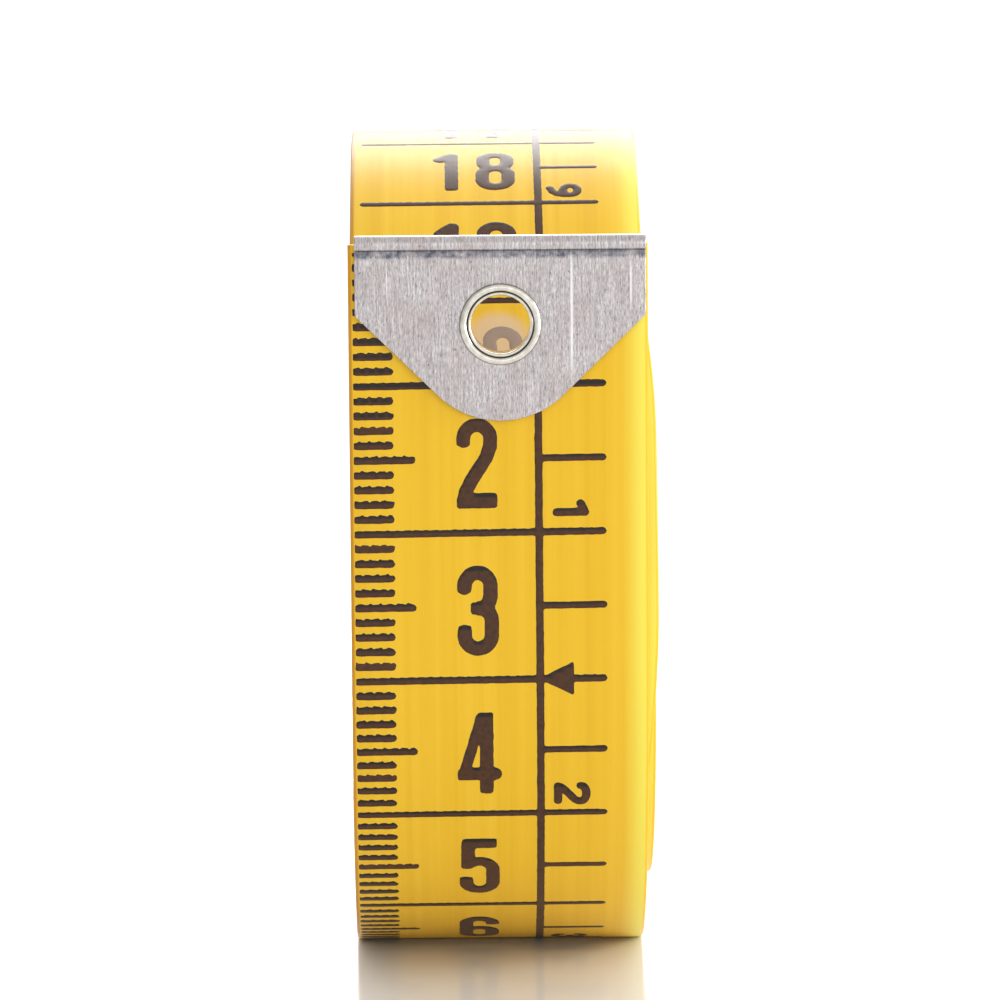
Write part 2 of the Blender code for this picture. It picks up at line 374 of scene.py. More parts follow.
def rubbed(n, place):
    """How strongly the tape under the eyelet is turned pale pinkish, as a share."""
    across, along, _ = n.separate(place)
    across = n.math("SUBTRACT", across, PATCH_ACROSS)
    along = n.math("SUBTRACT", along, PATCH_ALONG)
    squares = n.math("ADD", n.product(across, across), n.product(along, along))
    grain = n.noise(n.scaled(place, (900.0, 900.0, 1.0)), 3.0, 0.6)
    reach = n.math("ADD", n.math("SQRT", squares), n.product(grain, 0.0004))
    return n.product(n.math("SUBTRACT", 1.0, n.between(reach, 0.0016, 0.0027)), 0.62)


def tape_material():
    """Coated glass-fibre: satin yellow, with rovings that run along the strip. A painted glow
    lights its right edge, and painted shade darkens its left.
    """
    n = Nodes("tape_yellow", 0.36)
    place = n.attribute("strip")
    across = n.separate(place)[0]
    streaks = n.noise(n.scaled(place, (1100.0, 9.0, 1.0)), 4.0, 0.6)
    broad = n.noise(n.scaled(place, (260.0, 14.0, 1.0)), 2.0)
    fine = n.noise(n.scaled(place, (5200.0, 900.0, 1.0)), 2.0)
    base = n.ramp(streaks, (0.30, (0.83, 0.485, 0.014)), (0.52, (0.89, 0.545, 0.020)),
                  (0.75, (0.94, 0.610, 0.040)))
    base = n.mix(n.product(broad, 0.35), base, (0.92, 0.500, 0.012))
    # Painted glow: from 8 mm out on the right the tape turns a brighter lemon yellow, standing in
    # for light from the right shining through the edge; the very edge keeps its plain colour.
    edge = n.between(across, 0.00974, 0.00986)
    lit = n.math("SUBTRACT", n.between(across, 0.0080, 0.0098), edge)
    base = n.mix(lit, base, (0.97, 0.82, 0.10))
    # Painted shade: the last quarter mm on the left is darkened to orange-brown, because that
    # edge faces away from the light.
    shaded = n.between(n.product(across, -1.0), 0.00970, 0.00985)
    base = n.mix(n.product(shaded, 0.8), base, (0.62, 0.25, 0.012))
    n.colour(n.mix(rubbed(n, place), base, PATCH_COLOUR))
    n.rough(n.ramp(fine, (0.25, 0.32), (0.75, 0.46)))
    normal = n.bump(streaks, 0.000012)
    n.normal(n.bump(fine, 0.0000035, normal))
    n.set(n.shader, **{"Specular IOR Level": 0.26, "Coat Weight": 0.14, "Coat Roughness": 0.22})
    return n.material


def ink_material():
    """Thick dark brown ink, with painted shade that turns each mark's upper edge nearly black."""
    n = Nodes("print_ink", 0.40)
    shade = n.separate(n.attribute("ink"))[0]
    place = n.attribute("strip")
    mottle = n.noise(n.scaled(place, (2600.0, 2600.0, 1.0)), 3.0, 0.6)
    brown = n.ramp(mottle, (0.30, (0.045, 0.014, 0.003)), (0.70, (0.088, 0.029, 0.006)))
    # Painted shade: mix towards near black along each mark's upper edge.
    dark = n.mix(shade, brown, (0.006, 0.004, 0.003))
    n.colour(n.mix(n.product(rubbed(n, place), 0.72), dark, PATCH_COLOUR))
    n.rough(n.ramp(mottle, (0.3, 0.34), (0.7, 0.50)))
    n.normal(n.bump(mottle, 0.000010))
    n.set(n.shader, **{"Specular IOR Level": 0.25, "Coat Weight": 0.30, "Coat Roughness": 0.24})
    return n.material


def brushed_material(name, tint):
    """Sheet metal brushed along the tape, with scratches and painted shade along a crease."""
    n = Nodes(name, 0.36, 1.0)
    place = n.attribute("strip")
    parts = n.separate(place)
    grain = n.noise(n.scaled(place, (15000.0, 2600.0, 1.0)), 3.0, 0.65)
    long_grain = n.noise(n.scaled(place, (9000.0, 420.0, 1.0)), 2.0, 0.6)
    cloud = n.noise(n.scaled(place, (420.0, 300.0, 1.0)), 3.0, 0.6)
    mixed = n.math("ADD", n.product(grain, 0.62), n.product(long_grain, 0.38))
    dark, light = tuple(c * 0.42 for c in tint), tuple(min(1.0, c * 1.55) for c in tint)
    base = n.ramp(mixed, (0.34, dark), (0.50, tint), (0.66, light))
    base = n.mix(n.ramp(cloud, (0.38, 0.0), (0.75, 0.45)), base, (0.44, 0.34, 0.33))
    pits = n.noise(n.scaled(place, (3800.0, 2600.0, 1.0)), 2.0, 0.6)
    base = n.mix(n.ramp(pits, (0.66, 0.0), (0.74, 0.7)), base, (0.12, 0.10, 0.10))
    for mark_u, mark_v, width, length in TIP_SCRATCHES:
        mark = n.product(n.near(parts[0], mark_u, width), n.near(parts[1], mark_v, length))
        base = n.mix(n.product(mark, 0.9), base, (1.0, 0.99, 0.98))
    # Painted shade: a dark bluish band across the metal along the crease near the fold, broken up
    # by noise.
    crease_shade_breakup = n.noise(n.scaled(place, (900.0, 900.0, 1.0)), 4.0, 0.7)
    crease_shade_breakup = n.ramp(crease_shade_breakup, (0.36, 0.15), (0.60, 1.0))
    painted_crease_shade = n.product(n.near(parts[1], CREASE_AT, CREASE_REACH), crease_shade_breakup)
    n.colour(n.mix(painted_crease_shade, base, (0.115, 0.125, 0.160)))
    n.rough(n.ramp(mixed, (0.25, 0.46), (0.75, 0.27)))
    normal = n.bump(grain, 0.000006)
    n.normal(n.bump(long_grain, 0.000006, normal))
    return n.material


def eyelet_material():
    """Bright rolled metal with faint marks from its die, and painted shade in rings: in the
    groove where the lip meets the roll, and on the roll's outer side.
    """
    n = Nodes("eyelet_metal", 0.16, 1.0)
    coordinates = n.new("ShaderNodeTexCoord").outputs["Object"]
    spots = n.noise(n.scaled(coordinates, (2300.0, 2300.0, 2300.0)), 3.0, 0.6)
    radius = n.separate(n.attribute("ring"))[0]
    base = n.ramp(spots, (0.30, (0.66, 0.62, 0.54)), (0.65, (0.86, 0.83, 0.76)))
    # Painted shade: a dark ring in the groove where the lip meets the roll.
    base = n.mix(n.near(radius, 0.00221, 0.00011), base, (0.21, 0.18, 0.13))
    # Painted shade: the roll's outer side, where it turns down to the tip, is darkened.
    painted_roll_shade = n.between(radius, 0.00262, 0.00276)
    n.colour(n.mix(n.product(painted_roll_shade, 0.75), base, (0.16, 0.13, 0.09)))
    n.rough(n.ramp(spots, (0.3, 0.20), (0.7, 0.09)))
    n.normal(n.bump(spots, 0.000004))
    return n.material


# ---------------------------------------------------------------- the strip

def cross_section():
    """Points (across, lift) round the strip: two flat faces and two rounded edges."""
    half, deep = TAPE_WIDTH / 2.0, TAPE_THICKNESS / 2.0
    flat = half - EDGE_DEPTH
    top = [(-flat + 2.0 * flat * i / FACE_COLUMNS, deep) for i in range(FACE_COLUMNS + 1)]
    right = []
    for i in range(1, EDGE_STEPS):
        turn = math.pi / 2.0 - math.pi * i / EDGE_STEPS
        right.append((flat + EDGE_DEPTH * math.cos(turn), deep * math.sin(turn)))
    bottom = [(-u, -h) for u, h in top]
    left = [(-u, -h) for u, h in right]
    return np.array(top + right + bottom + left)


def face_outward(mesh):
    """Turn the faces of a closed mesh so that they all look out."""
    bm = bmesh.new()
    bm.from_mesh(mesh)
    bmesh.ops.recalc_face_normals(bm, faces=bm.faces)
    bm.to_mesh(mesh)
    bm.free()


def strip(name, begin, end, material, step=0.0010):
    """The tape between two lengths from its outer end, as a closed mesh."""
    section = cross_section()
    count = max(2, int(math.ceil((end - begin) / step)) + 1)
    lengths = np.linspace(begin, end, count)
    around = len(section)
    s = np.repeat(lengths, around)
    u = np.tile(section[:, 0], count)
    h = np.tile(section[:, 1], count)
    faces = []
    for i in range(count - 1):
        for j in range(around):
            k = (j + 1) % around
            faces.append((i * around + j, i * around + k,
                          (i + 1) * around + k, (i + 1) * around + j))
    faces.append(tuple(range(around - 1, -1, -1)))
    faces.append(tuple(range((count - 1) * around, count * around)))
    mesh = mesh_from(name, route.place(s, u, h), faces)
    store(mesh, "strip", np.stack([u, s, h], axis=1))
    face_outward(mesh)
    mesh.shade_smooth()
    mesh.set_sharp_from_angle(angle=math.radians(60.0))
    thing = add_object(name, mesh, material)
    return thing


# ---------------------------------------------------------------- the print

def arc(centre_u, centre_v, radius, begin, end, steps=10):
    turns = [math.radians(begin + (end - begin) * i / steps) for i in range(steps + 1)]
    return [(centre_u + radius * math.cos(a), centre_v + radius * math.sin(a)) for a in turns]


# Each numeral, in mm: its strokes, as (weight, middle line), and blocks (u, v, half-width,
# half-height) that square off the strokes' ends. The middle lines fill 1.8 x 5.17 mm.
GLYPH_WIDTH, GLYPH_HEIGHT = 1.80, 5.17
BOWL = 0.90
TOP = GLYPH_HEIGHT - BOWL
ROUND_BOTTOM = arc(BOWL, BOWL, BOWL, 0, -180)
ROUND_TOP = arc(BOWL, TOP, BOWL, 180, 0)
TERMINAL = (0.465, 0.24)
GLYPHS = {
    "0": ([(1.0, ROUND_TOP + ROUND_BOTTOM + [(0.0, TOP)])], []),
    "1": ([(1.0, [(1.25, 0.0), (1.25, 5.10), (0.42, 4.32)])],
          [(1.25, -0.22, *TERMINAL), (0.40, 4.20, 0.22, 0.30)]),
    "2": ([(1.0, [(0.0, 4.10)] + ROUND_TOP + [(1.78, 3.72), (1.55, 3.02), (0.55, 1.45),
                                              (0.12, 0.62), (0.0, 0.05)]),
           (1.12, [(0.05, 0.06), (1.74, 0.06)])],
          [(0.0, 3.98, *TERMINAL), (2.0, 0.06, 0.26, 0.52), (0.02, -0.10, 0.48, 0.36)]),
    "3": ([(1.05, [(0.0, 4.15)] + arc(0.87, 4.30, 0.87, 180, 0) + [(1.74, 3.52)]
            + arc(1.00, 3.47, 0.72, 0, -90) + arc(1.02, 1.93, 0.80, 90, 0)
            + arc(0.91, 0.91, 0.91, 0, -180) + [(0.0, 1.18)])],
          [(0.0, 4.05, *TERMINAL), (0.0, 1.36, *TERMINAL), (0.70, 2.74, 0.30, 0.43)]),
    "4": ([(1.0, [(1.42, 0.0), (1.42, 5.10)]), (0.80, [(1.05, 5.20), (-0.06, 1.30)]),
           (1.06, [(-0.06, 1.10), (1.96, 1.10)])],
          [(1.42, -0.22, *TERMINAL), (1.36, 5.26, 0.52, 0.36), (2.02, 1.10, 0.26, 0.46),
           (-0.10, 1.02, 0.44, 0.42)]),
    "5": ([(1.0, [(1.60, 5.15), (0.14, 5.15), (0.10, 2.95)] + arc(0.91, 2.42, 0.91, 130, 0)
            + arc(0.91, 0.91, 0.91, 0, -180) + [(0.0, 1.15)])],
          [(1.84, 5.15, 0.26, 0.47), (0.10, 2.80, 0.46, 0.26), (0.0, 1.34, *TERMINAL),
           (0.14, 5.20, 0.44, 0.40)]),
    "6": ([(1.0, arc(BOWL, TOP, BOWL, 0, 180) + arc(BOWL, BOWL, BOWL, 180, 360)
            + arc(BOWL, 2.05, BOWL, 0, 180))], [(1.80, 4.10, *TERMINAL)]),
    "7": ([(1.0, [(0.05, 5.15), (1.72, 5.15), (1.60, 4.30), (0.95, 2.2), (0.78, 0.0)])],
          [(-0.08, 5.15, 0.26, 0.44), (0.78, -0.22, *TERMINAL), (1.72, 5.18, 0.40, 0.42)]),
    "8": ([(1.0, arc(0.90, 3.62, 0.83, 0, -180) + arc(0.90, 4.32, 0.83, 180, 0)
            + [(1.73, 3.62)]),
           (1.0, arc(0.90, 1.88, 0.90, 0, 180) + arc(0.90, 0.90, 0.90, 180, 360)
            + [(1.80, 1.88)])], []),
    "9": ([(1.0, arc(BOWL, GLYPH_HEIGHT - TOP, BOWL, 180, 360)
            + arc(BOWL, TOP, BOWL, 0, 180) + arc(BOWL, GLYPH_HEIGHT - 2.05, BOWL, 180, 360))],
          [(0.0, GLYPH_HEIGHT - 4.10, *TERMINAL)]),
}


def small_nine():
    """The half-scale's 9, with a round bowl and an open tail."""
    turns = [math.radians(a) for a in range(0, 361, 15)]
    bowl = [(BOWL + BOWL * math.cos(a), 3.82 + 1.35 * math.sin(a)) for a in turns]
    return bowl + [(1.80, 2.60), (1.62, 1.45), (1.15, 0.50), (0.45, 0.05)]


SMALL_GLYPHS = {sign: [stroke for _, stroke in strokes] for sign, (strokes, _) in GLYPHS.items()}
SMALL_GLYPHS["9"] = [small_nine()]
SMALL_GLYPHS["6"] = [[(GLYPH_WIDTH - p, GLYPH_HEIGHT - q) for p, q in small_nine()]]


def to_segment(u, v, a, b):
    """Distance of each point (u, v) from the straight stroke between a and b."""
    du, dv = b[0] - a[0], b[1] - a[1]
    long = du * du + dv * dv
    share = np.clip(((u - a[0]) * du + (v - a[1]) * dv) / long, 0.0, 1.0) if long else 0.0
    return np.hypot(u - a[0] - share * du, v - a[1] - share * dv)


def to_block(u, v, block, corner=0.14):
    """Distance of each point (u, v) from a block with rounded corners."""
    far_u = np.abs(u - block[0]) - block[2] + corner
    far_v = np.abs(v - block[1]) - block[3] + corner
    outside = np.hypot(np.maximum(far_u, 0.0), np.maximum(far_v, 0.0))
    return outside + np.minimum(np.maximum(far_u, far_v), 0.0) - corner


def to_glyph(u, v, sign, half_stroke):
    """Distance from a numeral that stands on v = 0 with its left side at u = 0."""
    strokes, blocks = GLYPHS[sign]
    distance = np.full(np.shape(u), NO_INK)
    for weight, stroke in strokes:
        for a, b in zip(stroke, stroke[1:]):
            distance = np.minimum(distance, to_segment(u, v, a, b) - half_stroke * weight)
    for block in blocks:
        distance = np.minimum(distance, to_block(u, v, block))
    return distance


class Print:
    """How far each point of the flat tape is outside the ink, in mm, on a grid."""

    def __init__(self, begin, end):
        """The rows start at begin, and both are whole numbers of cells in metres."""
        self.first_row = int(round(begin / CELL))
        rows = int(round((end - begin) / CELL)) + 1
        columns = int(round(TAPE_WIDTH / CELL)) + 1
        self.u = (np.arange(columns) * CELL - TAPE_WIDTH / 2.0) * 1000.0
        self.v = (np.arange(rows) + self.first_row) * CELL * 1000.0
        self.field = np.full((rows, columns), NO_INK)
        grain = np.random.default_rng(7)
        self.ragged = self.soften(grain.uniform(-1.0, 1.0, (rows, columns)))

    def soften(self, values):
        """Spread random values over a few cells, for the ink's ragged outline."""
        for _ in range(2):
            values = values + np.roll(values, 1, 0) + np.roll(values, 1, 1)
            values = values / 2.4
        return values

    def add(self, low_u, high_u, low_v, high_v, distance):
        """distance gets the grid's u and v, in mm, within the given window."""
        rows = np.flatnonzero((self.v > low_v - 0.5) & (self.v < high_v + 0.5))
        columns = np.flatnonzero((self.u > low_u - 0.5) & (self.u < high_u + 0.5))
        if not len(rows) or not len(columns):
            return
        window = np.s_[rows[0]:rows[-1] + 1, columns[0]:columns[-1] + 1]
        v, u = np.meshgrid(self.v[window[0]], self.u[window[1]], indexing="ij")
        value = distance(u, v) + 0.022 * self.ragged[window]
        self.field[window] = np.minimum(self.field[window], value)

    def bar(self, a, b, thickness, wave=0.0, square=False):
        """A straight mark with round ends. wave makes its upper edge uneven, and square cuts
        its beginning straight."""
        begin = (a[0] - 1.0, a[1]) if square else a

        def distance(u, v):
            ripple = wave * (np.sin(u * 9.7 + a[1] * 2.3) + 0.6 * np.sin(u * 17.0 + a[1] * 4.1))
            upper = smooth((a[1] - v) / (0.3 * thickness) + 0.2)
            gap = to_segment(u, v, begin, b) - thickness / 2.0 + ripple * upper
            return np.maximum(gap, a[0] - u) if square else gap
        self.add(min(a[0], b[0]), max(a[0], b[0]), min(a[1], b[1]), max(a[1], b[1]), distance)

    def numeral(self, sign, left, foot):
        """Upright: its left side at left, and its foot at foot, which lies down the tape."""
        half = 0.475

        def distance(u, v):
            return to_glyph(u - left - half, foot - v - half, sign, half)
        self.add(left - 0.3, left + GLYPH_WIDTH + 1.2, foot - 6.4, foot, distance)

    def side_numeral(self, sign, left, foot):
        """Small, and turned a quarter to the right: its top points across the tape."""
        half, wide, high = 0.295, 0.70, 0.375

        def distance(u, v):
            nearest = np.full(np.shape(u), NO_INK)
            for stroke in SMALL_GLYPHS[sign]:
                scaled = [(p * wide, q * high) for p, q in stroke]
                for a, b in zip(scaled, scaled[1:]):
                    gap = to_segment(v - left - half, u - foot - half, a, b) - half
                    nearest = np.minimum(nearest, gap)
            return nearest
        self.add(foot, foot + 2.7, left - 0.2, left + 2.0, distance)


def rule_u(v):
    """Where the line along the tape lies across it."""
    return RULE_AT + RULE_LEAN * v


def print_scale(ink, begin, end):
    """The centimetre scale on the left, and the half scale on the right of the rule."""
    ink.bar((rule_u(begin), begin), (rule_u(end), end), RULE_WIDTH)
    for mm in range(int(begin), min(int(end), 99) + 1):
        if mm % 10:
            tick_end = MM_TICK_END if mm % 5 else HALF_CM_TICK_END
            ink.bar((TICK_BEGIN, mm), (tick_end, mm), TICK_WIDTH, 0.050, True)
    for half_cm in range(int(begin // 5), int(end // 5) + 1):
        v = half_cm * 5
        if v > 0:
            ink.bar((rule_u(v), v), (RIGHT_TICK_END, v), RIGHT_TICK_WIDTH)
    for cm in range(max(1, int(begin // 10)), int(end // 10) + 2):
        v = cm * 10
        line_begin = TICK_BEGIN if v < 100 else LATER_BEGIN
        ink.bar((line_begin, v), (CM_LINE_END, v), CM_LINE_WIDTH, 0.018, v < 100)
        print_number(ink, str(cm), v)
        if cm % 2 == 0:
            print_half_number(ink, str(cm // 2), v)
        if cm % 100 == 3:
            print_arrow(ink, v)


def print_number(ink, text, v):
    """The centimetre numeral above the line at v, with its digits side by side."""
    pitch = 3.10 if len(text) < 3 else 2.95
    wide = pitch * (len(text) - 1) + GLYPH_WIDTH + 0.93
    left = -1.50 - wide / 2.0
    for i, sign in enumerate(text):
        nudge = -0.30 if sign == "1" and len(text) > 1 else 0.0
        ink.numeral(sign, left + pitch * i + nudge, v - 1.65)


def print_half_number(ink, text, v):
    """The half scale's numeral above the line at v. Its digits follow one another down."""
    for i, sign in enumerate(text):
        back = (len(text) - 1 - i) * 1.95
        ink.side_numeral(sign, v - 2.48 - back, 3.52)


def print_arrow(ink, v):
    """A solid triangle that points at the rule."""
    tip, base, half = rule_u(v) + 0.12, 4.82, 0.98

    def distance(u, w):
        slope = half / (base - tip)
        side = (np.abs(w - v) - (u - tip) * slope) / math.hypot(1.0, slope)
        return np.maximum(side, u - base) - 0.12
    ink.add(tip, base, v - half, v + half, distance)


def ink_piece(name, ink, begin, end, face, material):
    """Domed patches where the field is below zero, between two rows of the grid."""
    low = int(round(begin / CELL)) - ink.first_row
    high = int(round(end / CELL)) - ink.first_row
    low, high = max(low, 0), min(high, len(ink.v) - 1)
    field = ink.field[low:high + 1]
    inside = field < 0.0
    busy = inside[:-1, :-1] | inside[1:, :-1] | inside[:-1, 1:] | inside[1:, 1:]
    corners = ((0, 0), (0, 1), (1, 1), (1, 0))
    index, places, rings = {}, [], []

    def vertex(key, row, column, depth):
        if key not in index:
            index[key] = len(places)
            places.append((row, column, depth))
        return index[key]

    for i, j in np.argwhere(busy):
        ring = []
        for k in range(4):
            row, column = i + corners[k][0], j + corners[k][1]
            next_row, next_column = i + corners[(k + 1) % 4][0], j + corners[(k + 1) % 4][1]
            here, there = field[row, column], field[next_row, next_column]
            if here < 0.0:
                ring.append(vertex((row, column), row, column, -here))
            if (here < 0.0) != (there < 0.0):
                share = here / (here - there)
                key = tuple(sorted(((row, column), (next_row, next_column))))
                ring.append(vertex(key, row + share * (next_row - row),
                                   column + share * (next_column - column), 0.0))
        rings.append(ring)
    if not rings:
        return None
    return ink_object(name, ink, low, field, np.array(places), rings, face, material)


def ink_object(name, ink, low, field, places, rings, face, material):
    """Lay an outline's rings on the strip, with a domed top and a flat underside."""
    rows, columns, depth = places.T
    u = ink.u[0] / 1000.0 + columns * CELL
    v = (rows + low + ink.first_row) * CELL - PRINT_SKEW * u
    length = v if face > 0 else TAPE_LENGTH - v
    dome = INK_HEIGHT * np.sqrt(np.clip(depth / DOME_REACH, 0.0, 1.0)) - INK_SINK
    skin = TAPE_THICKNESS / 2.0
    top = route.place(length, u, face * (skin + dome))
    bottom = route.place(length, u, face * np.full(len(u), skin - INK_ROOT))
    count = len(places)
    undersides = [[i + count for i in ring[::-1]] for ring in rings]
    mesh = mesh_from(name, np.concatenate([top, bottom]), rings + undersides)
    first = mesh.polygons[0]
    wanted = route.outward([float(length[first.vertices[0]])])[0] * face
    if first.normal.y * wanted[0] + first.normal.z * wanted[1] < 0.0:
        mesh.flip_normals()
    # Painted shade: a share, stored as the ink attribute, that darkens each mark's upper edge to
    # near black, where the raised ink's edge would be in shadow.
    above = np.clip(np.round(rows - SHADE_ROWS).astype(int), 0, len(field) - 1)
    edge = field[above, np.clip(np.round(columns).astype(int), 0, field.shape[1] - 1)]
    shade = np.clip((edge + 0.06) / 0.14, 0.0, 1.0) * np.clip((rows - 2.0) / 2.0, 0.0, 1.0)
    zero = np.zeros(count)
    store(mesh, "strip", np.tile(np.stack([u, length, zero], axis=1), (2, 1)))
    store(mesh, "ink", np.tile(np.stack([shade, zero, zero], axis=1), (2, 1)))
    mesh.shade_smooth()
    thing = add_object(name, mesh, material)
    close_rim(thing, count)
    return thing


def close_rim(thing, count):
    """Join the domes to their undersides along every open edge."""
    bm = bmesh.new()
    bm.from_mesh(thing.data)
    bm.verts.ensure_lookup_table()
    rims = [e for e in bm.edges if e.is_boundary and e.verts[0].index < count
            and e.verts[1].index < count]
    for edge in rims:
        a, b = edge.link_loops[0].vert, edge.link_loops[0].link_loop_next.vert
        bm.faces.new((b, a, bm.verts[a.index + count], bm.verts[b.index + count]))
    for face in bm.faces:
        face.smooth = True
    bm.to_mesh(thing.data)
    bm.free()
    thing.data.set_sharp_from_angle(angle=math.radians(50.0))


# ---------------------------------------------------------------- metal ends and eyelet

def apply_modifiers(thing):
    graph = bpy.context.evaluated_depsgraph_get()
    mesh = bpy.data.meshes.new_from_object(thing.evaluated_get(graph))
    thing.modifiers.clear()
    thing.data = mesh


def end_axes(near, far):
    """One end of the tape as a place and two directions (y, z): along it, and out of it."""
    corner, other = route.at([near, far])
    along = (other - corner) / np.hypot(*(other - corner))
    return corner, along, np.array([along[1], -along[0]])


def fold_path(length, roll, groove):
    """The folded sheet's middle line, as (distance from the end, lift), front leaf first."""
    reach = FOLD_DEPTH - SHEET / 2.0
    middle = roll + 0.00012
    front = [(length, reach), (0.0060, reach), (0.0030, reach), (0.0016, reach),
             (0.00128, reach - groove * 0.35), (0.00108, reach - groove),
             (0.00092, reach - groove * 0.6), (0.00080, reach + (roll - reach) * 0.75)]
    turns = [math.pi * i / 14.0 for i in range(15)]
    bend = [(middle - roll * math.sin(a), roll * math.cos(a)) for a in turns]
    back = [(d, -h) for d, h in reversed(front)]
    return front + bend + back


def folded_sheet(name, near, far, middle_x, length, width, roll, groove, material):
    """Sheet metal folded round the tape's end at near, which runs on towards far."""
    corner, along, outward = end_axes(near, far)
    bm = bmesh.new()
    columns = 12
    rows = []
    path = fold_path(length, roll, groove)
    for distance, lift in path:
        y, z = corner + along * distance + outward * lift
        rows.append([bm.verts.new((middle_x + width * (i / columns - 0.5), y, z))
                     for i in range(columns + 1)])
    for a, b in zip(rows, rows[1:]):
        for i in range(columns):
            bm.faces.new((a[i], a[i + 1], b[i + 1], b[i]))
    mesh = bpy.data.meshes.new(name)
    bm.to_mesh(mesh)
    bm.free()
    thing = add_object(name, mesh, material)
    solid = thing.modifiers.new("sheet", "SOLIDIFY")
    solid.thickness = SHEET
    solid.offset = 0.0
    return thing


def prism(outline, depth, middle_x, axes):
    """A block with this outline (x, distance from the end), to cut with."""
    corner, along, outward = axes
    bm = bmesh.new()
    verts = []
    for x, drop in outline:
        y, z = corner + along * drop + outward * depth / 2.0
        verts.append(bm.verts.new((middle_x + x, y, z)))
    made = bmesh.ops.extrude_face_region(bm, geom=[bm.faces.new(verts)])
    moved = [v for v in made["geom"] if isinstance(v, bmesh.types.BMVert)]
    shift = -outward * depth
    bmesh.ops.translate(bm, verts=moved, vec=(0.0, shift[0], shift[1]))
    bmesh.ops.recalc_face_normals(bm, faces=bm.faces)
    mesh = bpy.data.meshes.new("cutter")
    bm.to_mesh(mesh)
    bm.free()
    return add_object("cutter", mesh)


def hole_prism(middle_x, axes):
    """The eyelet's hole, through the metal and the tape."""
    outline = [(x, drop + EYELET_DROP) for x, drop in arc(0, 0, HOLE / 2.0, 0, 360, 64)[:-1]]
    return prism(outline, 0.005, middle_x, axes)


def cut(thing, cutter, operation):
    boolean = thing.modifiers.new("cut", "BOOLEAN")
    boolean.operation = operation
    boolean.solver = "EXACT"
    boolean.object = cutter


def soften_edges(thing, width):
    bevel = thing.modifiers.new("edges", "BEVEL")
    bevel.width = width
    bevel.segments = 3
    bevel.limit_method = "ANGLE"
    bevel.angle_limit = math.radians(38.0)
    bevel.harden_normals = False


def corner_arc(point, before, after, radius, steps=4):
    """A rounded corner at point, as a short quadratic curve."""
    point, before, after = Vector(point), Vector(before), Vector(after)
    begin = point + (before - point).normalized() * radius
    end = point + (after - point).normalized() * radius
    curve = []
    for i in range(steps + 1):
        t = i / steps
        curve.append(tuple(begin.lerp(point, t).lerp(point.lerp(end, t), t)))
    return curve


def tip_outline():
    """The tip's outline: square at the fold, then sloping in to a round nose."""
    half, nose = TIP_WIDTH / 2.0, 0.0060
    centre = TIP_LENGTH - nose
    round_nose = arc(0.0, centre, nose, 45.0, 135.0, 24)
    shoulder = (half, 0.0053)
    turned = corner_arc(shoulder, (half, 0.0), round_nose[0], 0.00015)
    mirrored = [(-x, drop) for x, drop in reversed(turned)]
    return [(half, -0.002)] + turned + round_nose + mirrored + [(-half, -0.002)]


def mark_strip(thing, near, sign):
    """Store each vertex's place on the strip, for the brushed grain."""
    corner, along, _ = end_axes(near, near + sign * 0.008)
    points = np.array([v.co for v in thing.data.vertices])
    run = (points[:, 1:] - corner) @ along
    store(thing.data, "strip", np.stack([points[:, 0], run, points[:, 1]], axis=1))


def finish_metal(thing, near, sign, node, body):
    """Apply a metal piece's modifiers, and let it stand for its CAD node."""
    apply_modifiers(thing)
    mark_strip(thing, near, sign)
    thing.data.shade_smooth()
    thing.data.set_sharp_from_angle(angle=math.radians(30.0))
    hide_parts(node)
    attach(thing, body)


def make_tip(material):
    """The outer end's metal tip. Gives back where it is, for the eyelet and the hole."""
    middle_x = float(route.drift([0.0])[0]) + 0.00015
    axes = end_axes(0.0, 0.010)
    tip = folded_sheet("metal_tip", 0.0, 0.010, middle_x, TIP_LENGTH + 0.001,
                       TIP_WIDTH + 0.001, 0.00052, 0.00010, material)
    outline = prism(tip_outline(), 0.004, middle_x, axes)
    punch = hole_prism(middle_x, axes)
    cut(tip, outline, "INTERSECT")
    cut(tip, punch, "DIFFERENCE")
    soften_edges(tip, 0.00005)
    finish_metal(tip, 0.0, 1.0, "end_tip", "lead_5")
    for cutter in (outline, punch):
        bpy.data.objects.remove(cutter, do_unlink=True)
    return middle_x, axes


def make_clip(material):
    """The plain folded clip on the inner end."""
    middle_x = float(route.drift([TAPE_LENGTH])[0])
    clip = folded_sheet("metal_tail_clip", TAPE_LENGTH, TAPE_LENGTH - 0.008, middle_x,
                        CLIP_LENGTH, TIP_WIDTH, 0.00050, 0.00008, material)
    soften_edges(clip, 0.00006)
    finish_metal(clip, TAPE_LENGTH, -1.0, "tail_clip", "tail_3")


def eyelet_profile():
    """(radius, height) in mm round the eyelet's section: a lip, a groove and a roll."""
    seat = FOLD_DEPTH * 1000.0
    roll = arc(2.47, seat + 0.02, 0.28, -40.0, 165.0, 12)
    lip = arc(2.10, seat + 0.08, 0.14, 25.0, 180.0, 8)
    return roll + lip


